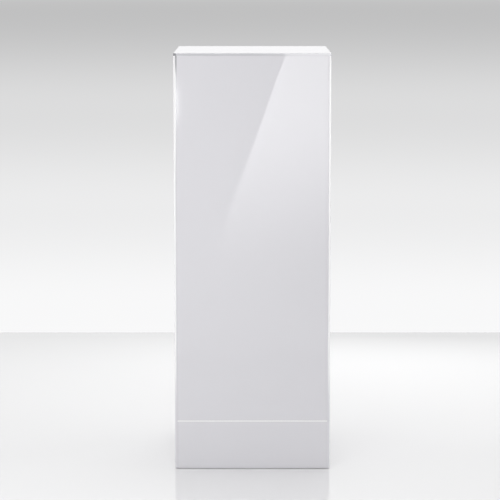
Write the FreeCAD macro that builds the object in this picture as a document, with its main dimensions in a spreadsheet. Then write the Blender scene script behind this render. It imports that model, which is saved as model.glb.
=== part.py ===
import FreeCAD, Part
import os
import re
import Sketcher

# Display plinth of white acrylic sheet. A tall five-sided cover stands on a low weighted base and lifts
# straight off it. The polished edge of the base's deck shows as a line where they meet. The base hides a
# board, ballast plates and four screw feet.
# Millimetres, +Z up, -Y is the front. The origin is on the floor, under the middle of the plinth.

SIZES = (
    ("plan_width", 300, "outside width of the box"),
    ("plan_depth", 300, "outside depth of the box"),
    ("wall_sheet", 5, "thickness of the wall panels"),
    ("top_sheet", 5, "thickness of the top panel"),
    ("cover_wall_height", 705, "height of the cover's walls"),
    ("base_wall_height", 95, "height of the base's walls"),
    ("floor_gap", 1, "shadow gap under the base's walls"),
    ("corner_radius", 1.2, "rounding of the upright outer corners"),
    ("top_bevel", 0.8, "bevel round the top panel's upper edge"),
    ("joint_arris", 0.3, "eased edges where two panels meet"),
    ("rod_leg", 12, "leg of the quadrant rods in the cover's corners"),
    ("rod_end_gap", 2, "space between the upstand and the corner rods"),
    ("board_thickness", 15, "plywood board of the base"),
    ("board_clearance", 0.5, "space between the walls and the board"),
    ("block_side", 30, "side of the square corner blocks"),
    ("block_bevel", 6, "bevel on the corner blocks' inner edge"),
    ("deck_sheet", 3, "thickness of the deck, whose edge shows between cover and base"),
    ("upstand_sheet", 5, "thickness of the upstand strips"),
    ("upstand_engagement", 35, "reach of the upstand into the cover"),
    ("upstand_lead", 2, "lead-in bevel along the upstand's top"),
    ("cover_clearance", 0.5, "space between the upstand and the walls"),
    ("ballast_thickness", 8, "thickness of one ballast plate"),
    ("ballast_side_gap", 10, "space between the ballast plates' ends and the walls"),
    ("ballast_foot_gap", 15, "space between the ballast plates and the feet's axes"),
    ("bolt_inset", 25, "distance of the ballast bolts from the plates' edges"),
    ("bolt_diameter", 8, "ballast bolt"),
    ("bolt_slack", 0.5, "radial space round the bolts in board and plates"),
    ("bolt_head_height", 5.3, "hexagon head of the bolts"),
    ("bolt_end", 3, "bolt length beyond the nut"),
    ("nut_height", 6.5, "hexagon nut"),
    ("hexagon_across", 13, "width across flats of bolt heads, nuts and foot collars"),
    ("nut_clearance", 0.05, "radial space between a bolt and its nut"),
    ("washer_diameter", 17, "washers under the bolt heads"),
    ("washer_thickness", 1.6, "washer"),
    ("screw_diameter", 4, "shank of the countersunk screws"),
    ("screw_head_diameter", 8, "head of the countersunk screws"),
    ("screw_tip_gap", 5, "space between a screw's tip and the middle of its block"),
    ("screw_clearance", 0.05, "radial space round the screws"),
    ("foot_block_gap", 15, "distance of a foot's axis from the corner blocks"),
    ("pad_diameter", 32, "foot pad"),
    ("pad_top_diameter", 20, "flat on top of the foot pad"),
    ("pad_height", 10.5, "foot pad"),
    ("pad_rim", 5, "height of the pad's upright rim"),
    ("pad_floor", 3, "thickness of the pad under the swivel head"),
    ("pad_edge", 1, "bevel round the pad's lower edge"),
    ("swivel_head_diameter", 13, "head of the stud, held in the pad"),
    ("swivel_head_height", 2.8, "head of the stud"),
    ("swivel_neck_diameter", 9, "neck of the stud"),
    ("swivel_clearance", 0.05, "radial space between stud and pad"),
    ("swivel_play", 0.1, "upright space over and under the swivel head"),
    ("collar_height", 6, "hexagon collar of the stud"),
    ("stud_diameter", 8, "nominal size of the stud's thread"),
    ("stud_reach", 28.5, "length of the stud above its collar"),
    ("stud_tip", 1, "bevel on the stud's tip"),
    ("thread_clearance", 0.07, "radial space between stud and insert"),
    ("insert_flange_diameter", 19, "flange of the insert nuts"),
    ("insert_flange", 1.5, "thickness of the insert nuts' flange"),
    ("insert_barrel_diameter", 10, "barrel of the insert nuts"),
    ("insert_barrel_length", 12, "barrel of the insert nuts"),
    ("insert_clearance", 0.05, "radial space between insert and board"),
)

# Places that follow from the sizes, measured from the plinth's middle and from the floor.
INNER_X = "(plan_width / 2 - wall_sheet)"
INNER_Y = "(plan_depth / 2 - wall_sheet)"
BLOCK_X = f"({INNER_X} - block_side / 2)"
BLOCK_Y = f"({INNER_Y} - block_side / 2)"
FOOT_X = f"({INNER_X} - block_side - foot_block_gap)"
FOOT_Y = f"({INNER_Y} - block_side - foot_block_gap)"
BALLAST_X = f"({INNER_X} - ballast_side_gap)"
BALLAST_Y = f"({FOOT_Y} - ballast_foot_gap)"
BOLT_X = f"({BALLAST_X} - bolt_inset)"
BOLT_Y = f"({BALLAST_Y} - bolt_inset)"
SEAM_Z = "(floor_gap + base_wall_height)"
COVER_TOP_Z = f"({SEAM_Z} + cover_wall_height)"
COLLAR_TOP_Z = "(pad_height + collar_height)"
BOARD_Z = f"({COLLAR_TOP_Z} + insert_flange)"
BOARD_TOP_Z = f"({BOARD_Z} + board_thickness)"
BALLAST_TOP_Z = f"({BOARD_TOP_Z} + 2 * ballast_thickness)"
BOLT_TOP_Z = f"({BALLAST_TOP_Z} + nut_height + bolt_end)"
DECK_Z = f"({SEAM_Z} - deck_sheet)"
UPSTAND_TOP_Z = f"({SEAM_Z} + upstand_engagement)"
BLOCK_HEIGHT = f"({DECK_Z} - {BOARD_TOP_Z})"
SCREW_GRIP = f"({BLOCK_HEIGHT} / 2 - screw_tip_gap)"
SCREW_HEAD_DEPTH = "((screw_head_diameter - screw_diameter) / 2)"
HEXAGON_RADIUS = "(hexagon_across / sqrt(3))"
STUD_FOOT_Z = "(pad_floor + swivel_play)"
SOCKET_TOP_Z = f"({STUD_FOOT_Z} + swivel_head_height + swivel_play)"

# Each side's turn about Z carries the front onto it.
SIDES = (("front", 0), ("right", 90), ("rear", 180), ("left", 270))
# Each corner's signs along X and Y, and the turn about Z that carries the front left corner onto it.
CORNERS = (
    ("front_left", -1, -1, 0),
    ("front_right", 1, -1, 90),
    ("rear_right", 1, 1, 180),
    ("rear_left", -1, 1, 270),
)
TOUCH = 1e-6

doc = FreeCAD.newDocument("display_plinth")
sheet = doc.addObject("Spreadsheet::Sheet", "sizes")
for row, (alias, size, meaning) in enumerate(SIZES, start=1):
    sheet.set(f"A{row}", str(size))
    sheet.setAlias(f"A{row}", alias)
    sheet.set(f"B{row}", meaning)
doc.recompute()
pieces = []


def bind(item, path, words):
    """Ties a property to a formula over the sheet's aliases."""
    item.setExpression(path, re.sub(r"\b[a-z_]+\b(?!\()", r"sizes.\g<0>", words))


def new_body(label):
    body = doc.addObject("PartDesign::Body", label)
    body.Label = label
    pieces.append(body)
    return body


def place(body, x, y, z, turn=0, tilt=0):
    """Tilts a body about X, turns it about Z and moves it to a place given by formulas."""
    about_z = FreeCAD.Rotation(FreeCAD.Vector(0, 0, 1), turn)
    about_x = FreeCAD.Rotation(FreeCAD.Vector(1, 0, 0), tilt)
    body.Placement = FreeCAD.Placement(FreeCAD.Vector(), about_z.multiply(about_x))
    bind(body, "Placement.Base.x", x)
    bind(body, "Placement.Base.y", y)
    bind(body, "Placement.Base.z", z)


def place_on_side(body, side, half_x, half_y, z, tilt=0):
    """Puts a body that was drawn for the front on one side, at half the plan's width or depth."""
    turn = dict(SIDES)[side]
    x, y = {
        "front": ("0", f"-{half_y}"),
        "right": (half_x, "0"),
        "rear": ("0", half_y),
        "left": (f"-{half_x}", "0"),
    }[side]
    place(body, x, y, z, turn, tilt)


def origin_part(body, role):
    return next(part for part in body.Origin.OriginFeatures if part.Role == role)


def new_sketch(body, name, role="XY_Plane"):
    sketch = body.newObject("Sketcher::SketchObject", f"{body.Name}_{name}")
    sketch.AttachmentSupport = [(origin_part(body, role), "")]
    sketch.MapMode = "FlatFace"
    return sketch


def measure(sketch, words, kind, *where):
    """Adds one dimension to a sketch and ties it to a formula."""
    number = sketch.addConstraint(Sketcher.Constraint(kind, *where, 1.0))
    bind(sketch, f"Constraints[{number}]", words)


def polyline(sketch, corners):
    """Closed straight-sided outline through corners given as rough numbers. Returns the lines."""
    points = [FreeCAD.Vector(x, y, 0) for x, y in corners]
    ends = points[1:] + points[:1]
    lines = [sketch.addGeometry(Part.LineSegment(a, b)) for a, b in zip(points, ends)]
    for line, following in zip(lines, lines[1:] + lines[:1]):
        sketch.addConstraint(Sketcher.Constraint("Coincident", line, 2, following, 1))
    return lines


def rectangle(sketch, width, depth, centred=True):
    """Rectangle about the origin or, if not centred, with its first side on the X axis."""
    front, right, rear, left = polyline(sketch, ((-1, 0), (1, 0), (1, 1), (-1, 1)))
    sketch.addConstraint(Sketcher.Constraint("Horizontal", rear))
    for line in (right, left):
        sketch.addConstraint(Sketcher.Constraint("Vertical", line))
    if centred:
        sketch.addConstraint(Sketcher.Constraint("Horizontal", front))
        sketch.addConstraint(Sketcher.Constraint("Symmetric", front, 1, rear, 1, -1, 1))
    else:
        sketch.addConstraint(Sketcher.Constraint("Symmetric", front, 1, front, 2, -2))
        sketch.addConstraint(Sketcher.Constraint("PointOnObject", front, 1, -1))
    measure(sketch, width, "DistanceX", front, 1, front, 2)
    measure(sketch, depth, "DistanceY", right, 1, right, 2)


def section(sketch, corners):
    """Outline whose corners are formulas for the distance from the V axis and the height."""
    rough = [(1 + column, column * column) for column in range(len(corners))]
    for line, (across, up) in zip(polyline(sketch, rough), corners):
        if across == "0":
            sketch.addConstraint(Sketcher.Constraint("PointOnObject", line, 1, -2))
        else:
            measure(sketch, across, "DistanceX", -1, 1, line, 1)
        if up == "0":
            sketch.addConstraint(Sketcher.Constraint("PointOnObject", line, 1, -1))
        else:
            measure(sketch, up, "DistanceY", -1, 1, line, 1)


def pad(body, sketch, height, symmetric=False):
    feature = body.newObject("PartDesign::Pad", f"{sketch.Name}_pad")
    feature.Profile = sketch
    bind(feature, "Length", height)
    if symmetric:
        feature.SideType = "Symmetric"
    doc.recompute()


def revolve(body, sketch):
    feature = body.newObject("PartDesign::Revolution", f"{sketch.Name}_turned")
    feature.Profile = sketch
    feature.ReferenceAxis = (sketch, ["V_Axis"])
    doc.recompute()


def solid(body, kind, name, height, **sizes):
    """Adds or cuts a cylinder or prism on the body's Z axis, from a height given by a formula."""
    feature = body.newObject(f"PartDesign::{kind}", f"{body.Name}_{name}")
    feature.AttachmentSupport = [(origin_part(body, "XY_Plane"), "")]
    feature.MapMode = "FlatFace"
    bind(feature, "AttachmentOffset.Base.z", height)
    for path, words in sizes.items():
        bind(feature, path, words)
    doc.recompute()
    return feature


def repeat_in_rectangle(body, features, half_x, half_y):
    """Repeats features from the rear right corner of a rectangle at its other three corners."""
    pattern = body.newObject("PartDesign::LinearPattern", f"{body.Name}_rectangle")
    pattern.Originals = features
    pattern.Direction = (origin_part(body, "X_Axis"), [""])
    pattern.Direction2 = (origin_part(body, "Y_Axis"), [""])
    pattern.Reversed = True
    pattern.Reversed2 = True
    pattern.Occurrences = 2
    pattern.Occurrences2 = 2
    bind(pattern, "Length", f"2 * {half_x}")
    bind(pattern, "Length2", f"2 * {half_y}")
    body.Tip = pattern
    doc.recompute()


def edges_on(shape, *sides):
    """Names of the edges that lie in every one of the named faces of the shape's box."""
    def lies_on(edge, side):
        level = getattr(shape.BoundBox, side)
        low = getattr(edge.BoundBox, side[0] + "Min")
        high = getattr(edge.BoundBox, side[0] + "Max")
        return abs(low - level) < TOUCH and abs(high - level) < TOUCH

    edges = enumerate(shape.Edges, start=1)
    return [f"Edge{number}" for number, edge in edges if all(lies_on(edge, side) for side in sides)]


def ease(body, kind, name, size, *places):
    """Chamfers or fillets the edges that lie at each of the places."""
    base = body.Tip
    names = [edge for sides in places for edge in edges_on(base.Shape, *sides)]
    if not names:
        raise RuntimeError(f"no edges for {name} on {body.Label}")
    feature = body.newObject(f"PartDesign::{kind}", f"{body.Name}_{name}")
    feature.Base = (base, names)
    bind(feature, {"Chamfer": "Size", "Fillet": "Radius"}[kind], size)
    doc.recompute()


def drill(body, name, half_x, half_y, diameter, top=None, sink=None):
    """Drills a hole at each corner of a rectangle, or one on the axis, countersunk to a diameter."""
    before = body.Shape.Volume
    sketch = new_sketch(body, name)
    if top:
        bind(sketch, "AttachmentOffset.Base.z", top)
    signs = ((1, 1), (-1, 1), (-1, -1), (1, -1)) if half_x else ((0, 0),)
    for across, along in signs:
        centre = FreeCAD.Vector(across, along, 0)
        circle = sketch.addGeometry(Part.Circle(centre, FreeCAD.Vector(0, 0, 1), 0.1))
        measure(sketch, diameter, "Diameter", circle)
        if half_x:
            measure(sketch, f"{across} * {half_x}", "DistanceX", -1, 1, circle, 3)
            measure(sketch, f"{along} * {half_y}", "DistanceY", -1, 1, circle, 3)
        else:
            sketch.addConstraint(Sketcher.Constraint("Coincident", circle, 3, -1, 1))
    doc.recompute()
    hole = body.newObject("PartDesign::Hole", f"{sketch.Name}_drilled")
    hole.Profile = sketch
    hole.DepthType = "ThroughAll"
    hole.Reversed = top is None
    bind(hole, "Diameter", diameter)
    if sink:
        hole.HoleCutType = "Countersink"
        hole.HoleCutCustomValues = True
        hole.HoleCutCountersinkAngle = 90
        bind(hole, "HoleCutDiameter", sink)
    doc.recompute()
    if not body.Shape.Volume < before:
        raise RuntimeError(f"{name} removed nothing from {body.Label}")


def strip(label, length, thickness, height):
    """Upright strip of sheet, drawn for the front: outer face at Y = 0, lower edge at Z = 0."""
    body = new_body(label)
    sketch = new_sketch(body, "footprint")
    rectangle(sketch, length, thickness, centred=False)
    pad(body, sketch, height)
    return body


def plate(label, half_x, half_y, thickness):
    """Flat plate about the Z axis, lower face at Z = 0."""
    body = new_body(label)
    sketch = new_sketch(body, "footprint")
    rectangle(sketch, f"2 * {half_x}", f"2 * {half_y}", centred=True)
    pad(body, sketch, thickness)
    return body


def wall_panels(prefix, side_height, between_height, bottom, seam):
    """Four walls. The left and right panels run the whole depth and the other two fit between them."""
    for side, _ in SIDES:
        between = side in ("front", "rear")
        length = f"2 * {INNER_X}" if between else "plan_depth"
        body = strip(f"{prefix}_{side}_panel", length, "wall_sheet", between_height if between else side_height)
        upright_corners = (("YMin", "XMin"), ("YMin", "XMax"))
        if between:
            ease(body, "Chamfer", "upright_arris", "joint_arris", *upright_corners)
        else:
            ease(body, "Fillet", "upright_round", "corner_radius", *upright_corners)
        ease(body, "Chamfer", "seam_edge", "joint_arris", ("YMin", seam))
        place_on_side(body, side, "plan_width / 2", "plan_depth / 2", bottom)


def top_panel():
    """Top sheet, flush with the walls' outer faces, with rounded corners and a polished bevel."""
    body = plate("cover_top_panel", "(plan_width / 2)", "(plan_depth / 2)", "top_sheet")
    corners = [(x, y) for x in ("XMin", "XMax") for y in ("YMin", "YMax")]
    ease(body, "Fillet", "corner_round", "corner_radius", *corners)
    ease(body, "Chamfer", "upper_bevel", "top_bevel", ("ZMax", "XMin"))
    ease(body, "Chamfer", "lower_arris", "joint_arris", ("ZMin", "XMin"))
    place(body, "0", "0", COVER_TOP_Z)


def quadrant(sketch):
    """Quarter disc with its corner at the origin and its legs along both axes."""
    across, up = (FreeCAD.Vector(1, 0, 0), FreeCAD.Vector(0, 1, 0))
    corner = FreeCAD.Vector()
    middle = FreeCAD.Vector(1, 1, 0).normalize()
    lower = sketch.addGeometry(Part.LineSegment(corner, across))
    bow = sketch.addGeometry(Part.Arc(across, middle, up))
    upright = sketch.addGeometry(Part.LineSegment(up, corner))
    sketch.addConstraint(Sketcher.Constraint("Coincident", lower, 1, -1, 1))
    sketch.addConstraint(Sketcher.Constraint("Coincident", upright, 2, -1, 1))
    sketch.addConstraint(Sketcher.Constraint("Coincident", bow, 3, -1, 1))
    sketch.addConstraint(Sketcher.Constraint("Coincident", lower, 2, bow, 1))
    sketch.addConstraint(Sketcher.Constraint("Coincident", bow, 2, upright, 1))
    sketch.addConstraint(Sketcher.Constraint("Horizontal", lower))
    sketch.addConstraint(Sketcher.Constraint("Vertical", upright))
    measure(sketch, "rod_leg", "Radius", bow)


def quadrant_rods():
    """Rods bonded into the cover's upright corners and, between them, under its top panel."""
    bottom = f"({UPSTAND_TOP_Z} + rod_end_gap)"
    for corner, across, along, turn in CORNERS:
        body = new_body(f"corner_rod_{corner}")
        sketch = new_sketch(body, "quadrant")
        quadrant(sketch)
        pad(body, sketch, f"{COVER_TOP_Z} - {bottom}")
        place(body, f"{across} * {INNER_X}", f"{along} * {INNER_Y}", bottom, turn)
    for side, _ in SIDES:
        inner = INNER_X if side in ("front", "rear") else INNER_Y
        body = new_body(f"top_rod_{side}")
        sketch = new_sketch(body, "quadrant", "YZ_Plane")
        quadrant(sketch)
        pad(body, sketch, f"2 * ({inner} - rod_leg)", symmetric=True)
        place_on_side(body, side, INNER_X, INNER_Y, COVER_TOP_Z, tilt=-90)


def upstand_strips():
    """Strips on the deck that reach into the cover. The left and right ones take in the others' ends."""
    for side, _ in SIDES:
        between = side in ("front", "rear")
        inner = f"{INNER_X} - upstand_sheet" if between else INNER_Y
        length = f"2 * ({inner} - cover_clearance)"
        body = strip(f"upstand_{side}", length, "upstand_sheet", "upstand_engagement")
        ease(body, "Chamfer", "lead_in", "upstand_lead", ("YMin", "ZMax"))
        half_x = f"({INNER_X} - cover_clearance)"
        half_y = f"({INNER_Y} - cover_clearance)"
        place_on_side(body, side, half_x, half_y, SEAM_Z)


def board_and_deck():
    """Board with holes for inserts, bolts and screws, and the deck, which closes the base.

    The deck lies on the front and rear panels and on the blocks, between the left and right panels.
    """
    half_x = f"({INNER_X} - board_clearance)"
    half_y = f"({INNER_Y} - board_clearance)"
    screw_hole = "screw_diameter + 2 * screw_clearance"
    screw_sink = "screw_head_diameter + 2 * screw_clearance"
    board = plate("base_board", half_x, half_y, "board_thickness")
    insert_hole = "insert_barrel_diameter + 2 * insert_clearance"
    drill(board, "insert_holes", FOOT_X, FOOT_Y, insert_hole)
    drill(board, "bolt_holes", BOLT_X, BOLT_Y, "bolt_diameter + 2 * bolt_slack")
    drill(board, "screw_holes", BLOCK_X, BLOCK_Y, screw_hole, sink=screw_sink)
    place(board, "0", "0", BOARD_Z)
    deck = plate("base_deck", INNER_X, "(plan_depth / 2)", "deck_sheet")
    drill(deck, "screw_holes", BLOCK_X, BLOCK_Y, screw_hole, top="deck_sheet", sink=screw_sink)
    place(deck, "0", "0", DECK_Z)


def corner_blocks():
    """Hardwood blocks in the base's corners, bored for the screws, bevelled towards the middle."""
    for corner, across, along, turn in CORNERS:
        block = plate(f"corner_block_{corner}", "(block_side / 2)", "(block_side / 2)", BLOCK_HEIGHT)
        ease(block, "Chamfer", "inner_bevel", "block_bevel", ("XMax", "YMax"))
        drill(block, "screw_bore", None, None, "screw_diameter + 2 * screw_clearance")
        place(block, f"{across} * {BLOCK_X}", f"{along} * {BLOCK_Y}", BOARD_TOP_Z, turn)


def countersunk_screws(label, grip, height, tilt=0):
    """Four countersunk screws with flat heads, drawn head down."""
    body = new_body(label)
    sketch = new_sketch(body, "half_section", "XZ_Plane")
    length = f"{grip} + {SCREW_GRIP}"
    section(sketch, (
        ("0", "0"),
        ("screw_head_diameter / 2", "0"),
        ("screw_diameter / 2", SCREW_HEAD_DEPTH),
        ("screw_diameter / 2", length),
        ("0", length),
    ))
    revolve(body, sketch)
    repeat_in_rectangle(body, [body.Tip], BLOCK_X, BLOCK_Y)
    place(body, BLOCK_X, f"-{BLOCK_Y}" if tilt else BLOCK_Y, height, tilt=tilt)


def ballast():
    """Two steel plates on the board, held by four bolts with washers under their heads, and nuts."""
    for label, height in (("lower", BOARD_TOP_Z), ("upper", f"{BOARD_TOP_Z} + ballast_thickness")):
        body = plate(f"ballast_plate_{label}", BALLAST_X, BALLAST_Y, "ballast_thickness")
        drill(body, "bolt_holes", BOLT_X, BOLT_Y, "bolt_diameter + 2 * bolt_slack")
        place(body, "0", "0", height)
    head_z = f"({BOARD_Z} - washer_thickness - bolt_head_height)"
    bolts = new_body("ballast_bolts")
    head = solid(bolts, "AdditivePrism", "head", "0", Circumradius=HEXAGON_RADIUS, Height="bolt_head_height")
    shank = solid(bolts, "AdditiveCylinder", "shank", "0", Radius="bolt_diameter / 2",
                  Height=f"{BOLT_TOP_Z} - {head_z}")
    repeat_in_rectangle(bolts, [head, shank], BOLT_X, BOLT_Y)
    place(bolts, BOLT_X, BOLT_Y, head_z)
    washers = new_body("ballast_washers")
    disc = solid(washers, "AdditiveCylinder", "disc", "0", Radius="washer_diameter / 2",
                 Height="washer_thickness")
    hole = solid(washers, "SubtractiveCylinder", "hole", "0", Radius="bolt_diameter / 2 + bolt_slack",
                 Height="washer_thickness")
    repeat_in_rectangle(washers, [disc, hole], BOLT_X, BOLT_Y)
    place(washers, BOLT_X, BOLT_Y, f"{BOARD_Z} - washer_thickness")
    nuts = new_body("ballast_nuts")
    block = solid(nuts, "AdditivePrism", "hexagon", "0", Circumradius=HEXAGON_RADIUS, Height="nut_height")
    bore = solid(nuts, "SubtractiveCylinder", "bore", "0", Radius="bolt_diameter / 2 + nut_clearance",
                 Height="nut_height")
    repeat_in_rectangle(nuts, [block, bore], BOLT_X, BOLT_Y)
    place(nuts, BOLT_X, BOLT_Y, BALLAST_TOP_Z)


def foot_inserts():
    """Flanged insert nuts, pressed into the board from below."""
    body = new_body("foot_inserts")
    length = "insert_flange + insert_barrel_length"
    flange = solid(body, "AdditiveCylinder", "flange", "0", Radius="insert_flange_diameter / 2",
                   Height="insert_flange")
    barrel = solid(body, "AdditiveCylinder", "barrel", "0", Radius="insert_barrel_diameter / 2", Height=length)
    bore = solid(body, "SubtractiveCylinder", "bore", "0", Radius="stud_diameter / 2", Height=length)
    repeat_in_rectangle(body, [flange, barrel, bore], FOOT_X, FOOT_Y)
    place(body, FOOT_X, FOOT_Y, COLLAR_TOP_Z)


def feet():
    """Swivelling pads, and the studs whose heads turn inside them and whose threads run in the inserts."""
    socket = "(swivel_head_diameter / 2 + swivel_clearance)"
    mouth = "(swivel_neck_diameter / 2 + swivel_clearance)"
    shank = "(stud_diameter / 2 - thread_clearance)"
    tip = f"({COLLAR_TOP_Z} + stud_reach)"
    for corner, across, along, _ in CORNERS:
        x, y = (f"{across} * {FOOT_X}", f"{along} * {FOOT_Y}")
        body = new_body(f"foot_pad_{corner}")
        sketch = new_sketch(body, "half_section", "XZ_Plane")
        section(sketch, (
            ("0", "0"),
            ("pad_diameter / 2", "0"),
            ("pad_diameter / 2", "pad_rim"),
            ("pad_top_diameter / 2", "pad_height"),
            (mouth, "pad_height"),
            (mouth, SOCKET_TOP_Z),
            (socket, SOCKET_TOP_Z),
            (socket, "pad_floor"),
            ("0", "pad_floor"),
        ))
        revolve(body, sketch)
        ease(body, "Chamfer", "floor_edge", "pad_edge", ("ZMin",))
        place(body, x, y, "0")
        body = new_body(f"foot_stud_{corner}")
        sketch = new_sketch(body, "half_section", "XZ_Plane")
        section(sketch, (
            ("0", STUD_FOOT_Z),
            ("swivel_head_diameter / 2", STUD_FOOT_Z),
            ("swivel_head_diameter / 2", f"{STUD_FOOT_Z} + swivel_head_height"),
            ("swivel_neck_diameter / 2", f"{STUD_FOOT_Z} + swivel_head_height"),
            ("swivel_neck_diameter / 2", "pad_height"),
            (shank, "pad_height"),
            (shank, f"{tip} - stud_tip"),
            (f"{shank} - stud_tip", tip),
            ("0", tip),
        ))
        revolve(body, sketch)
        solid(body, "AdditivePrism", "collar", "pad_height", Circumradius=HEXAGON_RADIUS, Height="collar_height")
        place(body, x, y, "0")


def write_parts():
    """Checks every object of the document, then writes one file for each piece."""
    doc.recompute()
    failed = [item.Name for item in doc.Objects if {"Invalid", "Error"} & set(item.State)]
    unsound = [body.Label for body in pieces if body.Shape.isNull() or not body.Shape.isValid()]
    if failed or unsound:
        raise RuntimeError(f"failed objects {failed}, unsound pieces {unsound}")
    os.makedirs("parts", exist_ok=True)
    for body in pieces:
        body.Shape.exportStep(f"parts/{body.Label}.step")
        print(f"{body.Label}: {len(body.Shape.Solids)} solids, {body.Shape.Volume:.0f} cubic millimetres")


wall_panels("cover", "cover_wall_height", "cover_wall_height", SEAM_Z, seam="ZMin")
top_panel()
quadrant_rods()
wall_panels("base", "base_wall_height", "base_wall_height - deck_sheet", "floor_gap", seam="ZMax")
board_and_deck()
corner_blocks()
countersunk_screws("board_screws", "board_thickness", BOARD_Z)
countersunk_screws("deck_screws", "deck_sheet", SEAM_Z, tilt=180)
upstand_strips()
ballast()
foot_inserts()
feet()
write_parts()
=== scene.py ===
import math

import bpy
import numpy as np
from bpy.props import FloatProperty, FloatVectorProperty, PointerProperty
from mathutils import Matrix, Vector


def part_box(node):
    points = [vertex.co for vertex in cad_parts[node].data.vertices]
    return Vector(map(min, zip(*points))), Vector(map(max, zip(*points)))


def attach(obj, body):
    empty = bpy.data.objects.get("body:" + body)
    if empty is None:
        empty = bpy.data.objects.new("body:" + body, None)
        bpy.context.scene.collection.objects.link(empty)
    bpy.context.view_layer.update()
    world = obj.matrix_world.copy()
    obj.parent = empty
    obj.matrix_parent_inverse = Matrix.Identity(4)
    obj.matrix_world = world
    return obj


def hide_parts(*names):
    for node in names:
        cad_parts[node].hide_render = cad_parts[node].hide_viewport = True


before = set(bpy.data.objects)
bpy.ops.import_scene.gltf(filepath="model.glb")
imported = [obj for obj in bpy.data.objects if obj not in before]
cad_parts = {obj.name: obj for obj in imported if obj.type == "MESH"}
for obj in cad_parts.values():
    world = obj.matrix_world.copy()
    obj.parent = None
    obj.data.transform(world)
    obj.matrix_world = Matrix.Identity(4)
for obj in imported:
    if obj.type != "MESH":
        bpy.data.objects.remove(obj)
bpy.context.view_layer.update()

bl_info = {
    "name": "Acrylic display plinth",
    "version": (1, 0, 0),
    "blender": (4, 5, 0),
    "location": "View3D > Sidebar > Plinth",
    "description": "Finishes, small hardware and studio stage of an acrylic display plinth",
    "category": "Object",
}

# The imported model's box, and places that the finishes and the stage take from it, in metres.
HALF_WIDTH, HALF_DEPTH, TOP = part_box("cover_top_panel")[1]
FRONT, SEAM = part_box("cover_front_panel")[0][1:]
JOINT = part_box("cover_front_panel")[1][0]
CORNERS = ("front_left", "front_right", "rear_right", "rear_left")
SIDES = ("front", "right", "rear", "left")

FULL_TURN = 2 * math.pi
COLUMNS = 72
SHARP_ANGLE = math.radians(32)
SENSOR_WIDTH = 36.0
ACRYLIC_IOR, NYLON_IOR, FLOOR_IOR = 1.49, 1.53, 2.6

# A face turns to an axis as its normal's share along it goes through this range.
FACING = (0.55, 0.85)
# Left turns into right over this range of X.
ACROSS = (-0.1, 0.1)
# The mix node's sockets for colours: the factor and the two that it mixes, and the result.
MIX_INPUTS, MIX_RESULT = (0, 6, 7), 2

# A hexagon's bevel: its slope, and its circle as a share of the width across flats.
BEVEL_SLOPE, BEVEL_CIRCLE = math.tan(math.radians(30)), 0.97
# Share of a thread's V that is cut flat at its crest, and as much at its root.
THREAD_FLAT = 0.1
# Rings of a screw's face as shares of its radius, and its point's waist as shares of radius and length.
FACE_RINGS = np.linspace(0.03, 1.0, 22)
WAIST_RADIUS, WAIST_HEIGHT = 0.45, 0.6
# How far the centres of a pad's upper arcs stand off, as a share of their radius.
PAD_SET = 0.4
FLOOR_STEPS = 12

# Each softbox: where it stands, where it points, and its width and height.
SOFTBOXES = {
    "top": ((0.0, -0.05, 2.4), (0.0, 0.0, 0.0), (2.4, 2.4)),
    "left": ((-2.0, 0.3, 1.15), (0.0, 0.3, 1.15), (2.4, 2.4)),
    "right": ((2.0, 0.3, 1.15), (0.0, 0.3, 1.15), (2.4, 2.4)),
    "front": ((-0.3, -1.15, 0.72), (-0.1, 0.0, 0.72), (0.9, 0.5)),
    "back": ((0.3, 1.25, 0.68), (0.1, 0.0, 0.66), (0.9, 0.5)),
    "rear": ((0.0, 2.8, 1.75), (0.0, 0.0, 1.0), (4.0, 1.8)),
}

# The backdrop's brightness by the upward part of the line of sight, and the range that its ramp covers.
BACKDROP = (
    (-0.2, 0.95), (-0.171, 0.94), (-0.123, 0.84), (-0.075, 0.72), (-0.0265, 0.53), (0.0, 0.8), (0.02, 1.0),
)
BACKDROP_LOW, BACKDROP_HIGH = -0.2, 0.3
BACKDROP_BLUE = 1.005

# Where the front shows the two cards: outlines across and up it.
STREAK = ((0.0733, 0.835), (-0.0697, 0.4315), (-0.1055, 0.33), (0.2, 0.33), (0.2, 0.835))
GLINT = ((-0.1455, 0.63), (-0.128, 0.63), (-0.128, 0.79), (-0.1455, 0.79))


def length(name, description, metres):
    """Property for a real length in metres."""
    return FloatProperty(name=name, description=description, default=metres, unit="LENGTH", precision=5)


def pair(name, description, metres):
    """Property for two lengths between which something changes."""
    return FloatVectorProperty(
        name=name, description=description, default=metres, size=2, unit="LENGTH", precision=5
    )


def share(name, description, value):
    """Property for a share."""
    return FloatProperty(
        name=name, description=description, default=value, min=0.0, max=1.0, subtype="FACTOR"
    )


def colour(name, description, rgb):
    """Property for a linear colour."""
    return FloatVectorProperty(
        name=name, description=description, default=rgb, size=3, min=0.0, max=1.0, subtype="COLOR"
    )


def power(name, description, strength, unit="POWER"):
    """Property for a lamp's power, or for a card's brightness without a unit."""
    return FloatProperty(name=name, description=description, default=strength, min=0.0, unit=unit)


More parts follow.
